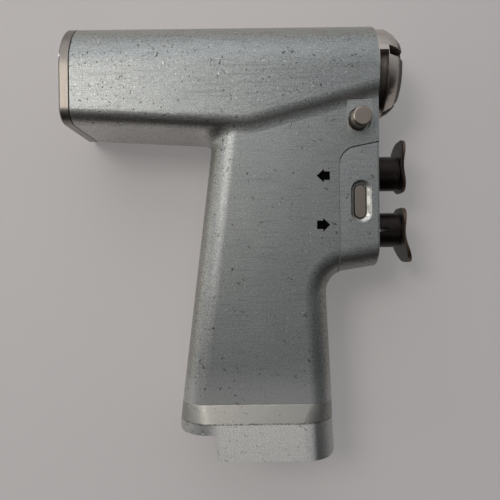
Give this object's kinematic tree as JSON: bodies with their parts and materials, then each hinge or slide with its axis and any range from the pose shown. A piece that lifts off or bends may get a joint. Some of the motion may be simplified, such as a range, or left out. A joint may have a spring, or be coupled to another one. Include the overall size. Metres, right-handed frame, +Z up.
{
  "type": "surgical power drill",
  "caption": "Cordless pistol-grip surgical drill with a cast housing, slotted bayonet nose, two finger triggers, a side release button and an open battery bay in the grip.",
  "frame": {"origin": "centre of the nose's mouth, on the spindle axis", "axes": "+X along the spindle out of the nose, +Z up with the grip hanging down, +Y to the drill's left"},
  "size_m": [0.1276, 0.0414, 0.1586],
  "materials": {
    "cast_body": "bead-blasted cast aluminium, worn",
    "stainless": "polished stainless steel",
    "dark_metal": "dark bronze-brown coating, worn at the edges",
    "steel": "ground steel",
    "spring_steel": "spring wire",
    "core_steel": "laminated core steel",
    "copper": "enamelled copper",
    "magnet": "plated magnet",
    "light_alloy": "turned aluminium",
    "seal": "black seal rubber",
    "board": "green circuit board",
    "insulator": "black moulded plastic",
    "contact": "gold-plated contact"
  },
  "bodies": {
    "housing": {"main_housing": "cast_body", "trigger_housing": "cast_body", "cover_gasket": "seal", "cover_screws": "steel", "rear_cap": "stainless", "rear_gasket": "seal", "rear_cap_screws": "steel", "nose_collar": "stainless", "nose_seal": "seal", "wire_tube": "steel", "stator_core": "core_steel", "stator_windings": "copper", "front_end_plate": "light_alloy", "rear_end_plate": "light_alloy", "front_motor_bearing": "steel", "rear_motor_bearing": "steel", "ring_gear": "steel", "drive_spacer": "light_alloy", "upper_trigger_spring": "spring_steel", "lower_trigger_spring": "spring_steel", "trigger_seals": "seal", "spring_plate": "insulator", "control_board": "board", "board_components": "insulator", "contact_block": "insulator", "battery_contacts": "contact", "selector_detent": "steel", "detent_spring": "spring_steel", "release_button_bush": "steel", "release_button_spring": "spring_steel", "lock_pin_spring": "spring_steel", "front_spindle_bearing": "steel", "rear_spindle_bearing": "steel"},
    "rotor": {"rotor_shaft": "steel", "rotor_magnets": "magnet", "sun_gear": "steel"},
    "spindle": {"drive_spindle": "steel", "planet_carrier": "steel"},
    "planet_1": {"planet_gear_1": "steel"},
    "planet_2": {"planet_gear_2": "steel"},
    "planet_3": {"planet_gear_3": "steel"},
    "upper_trigger": {"upper_trigger": "dark_metal", "upper_trigger_magnet": "magnet"},
    "lower_trigger": {"lower_trigger": "dark_metal", "lower_trigger_magnet": "magnet"},
    "selector": {"mode_selector": "stainless", "selector_end": "stainless"},
    "release_button": {"release_button": "stainless"},
    "lock_pin": {"lock_pin": "steel"}
  },
  "joints": [
    {"name": "spindle_spin", "type": "hinge", "parent": "housing", "child": "spindle", "pos_m": [-0.04, 0, 0], "axis": [1, 0, 0], "continuous": true},
    {"name": "rotor_spin", "type": "hinge", "parent": "housing", "child": "rotor", "pos_m": [-0.088, 0, 0], "axis": [1, 0, 0], "continuous": true},
    {"name": "planet_1_spin", "type": "hinge", "parent": "spindle", "child": "planet_1", "pos_m": [-0.06, 0, 0.0081], "axis": [1, 0, 0], "continuous": true},
    {"name": "planet_2_spin", "type": "hinge", "parent": "spindle", "child": "planet_2", "pos_m": [-0.06, -0.00701, -0.00405], "axis": [1, 0, 0], "continuous": true},
    {"name": "planet_3_spin", "type": "hinge", "parent": "spindle", "child": "planet_3", "pos_m": [-0.06, 0.00701, -0.00405], "axis": [1, 0, 0], "continuous": true},
    {"name": "upper_trigger_press", "type": "slide", "parent": "housing", "child": "upper_trigger", "axis": [-1, 0, 0], "range_m": [0, 0.007], "stiffness_N_per_m": 600, "springref_m": -0.004, "deforming": ["upper_trigger_spring"]},
    {"name": "lower_trigger_press", "type": "slide", "parent": "housing", "child": "lower_trigger", "axis": [-1, 0, 0], "range_m": [0, 0.007], "stiffness_N_per_m": 600, "springref_m": -0.004, "deforming": ["lower_trigger_spring"]},
    {"name": "selector_slide", "type": "slide", "parent": "housing", "child": "selector", "axis": [0, -1, 0], "range_m": [0, 0.0025]},
    {"name": "release_press", "type": "slide", "parent": "housing", "child": "release_button", "axis": [0, 1, 0], "range_m": [0, 0.003], "stiffness_N_per_m": 800, "springref_m": -0.002, "deforming": ["release_button_spring"]},
    {"name": "lock_pin_drop", "type": "slide", "parent": "housing", "child": "lock_pin", "axis": [0, 0, -1], "range_m": [0, 0.001], "deforming": ["lock_pin_spring"]}
  ],
  "couplings": [
    {"joint": "rotor_spin", "follows": "spindle_spin", "ratio": 4.5},
    {"joint": "planet_1_spin", "follows": "spindle_spin", "ratio": -2.8},
    {"joint": "planet_2_spin", "follows": "spindle_spin", "ratio": -2.8},
    {"joint": "planet_3_spin", "follows": "spindle_spin", "ratio": -2.8},
    {"joint": "lock_pin_drop", "follows": "release_press", "ratio": 0.33333}
  ]
}
